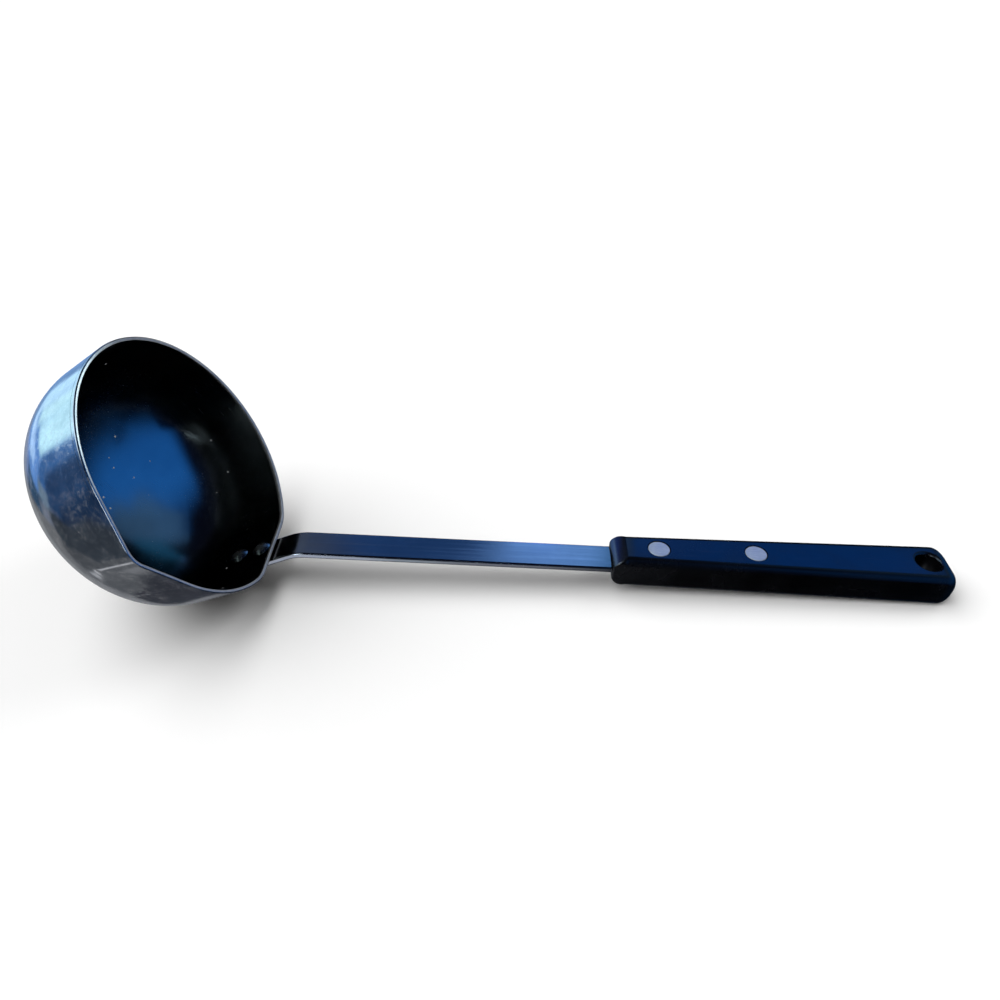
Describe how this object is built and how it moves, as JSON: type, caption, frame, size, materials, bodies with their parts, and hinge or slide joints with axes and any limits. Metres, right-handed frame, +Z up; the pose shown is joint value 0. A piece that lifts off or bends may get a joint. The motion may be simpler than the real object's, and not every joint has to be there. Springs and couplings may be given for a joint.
{
  "type": "ladle",
  "caption": "Soup ladle with a deep pressed steel bowl, a pouring lip on one side, a flat riveted shank and a black moulded handle with a hang hole.",
  "frame": {"origin": "middle of the bounding box's footprint, on the surface the ladle lies on", "axes": "+X along the ladle from the bowl to the handle's end, +Z up, -Y to the side with the pouring lip"},
  "size_m": [0.328, 0.099, 0.0918],
  "materials": {
    "bowl_steel": "polished inside, worn satin outside",
    "shank_steel": "polished, fine scratches",
    "handle_black": "glossy black moulding",
    "rivet_steel": "satin, fine scratches"
  },
  "bodies": {
    "root": {"bowl": "bowl_steel", "bowl_rivet_upper": "rivet_steel", "bowl_rivet_lower": "rivet_steel", "shank": "shank_steel", "handle": "handle_black", "handle_rivet_front_post": "rivet_steel", "handle_rivet_front_cap": "rivet_steel", "handle_rivet_rear_post": "rivet_steel", "handle_rivet_rear_cap": "rivet_steel"}
  },
  "joints": []
}
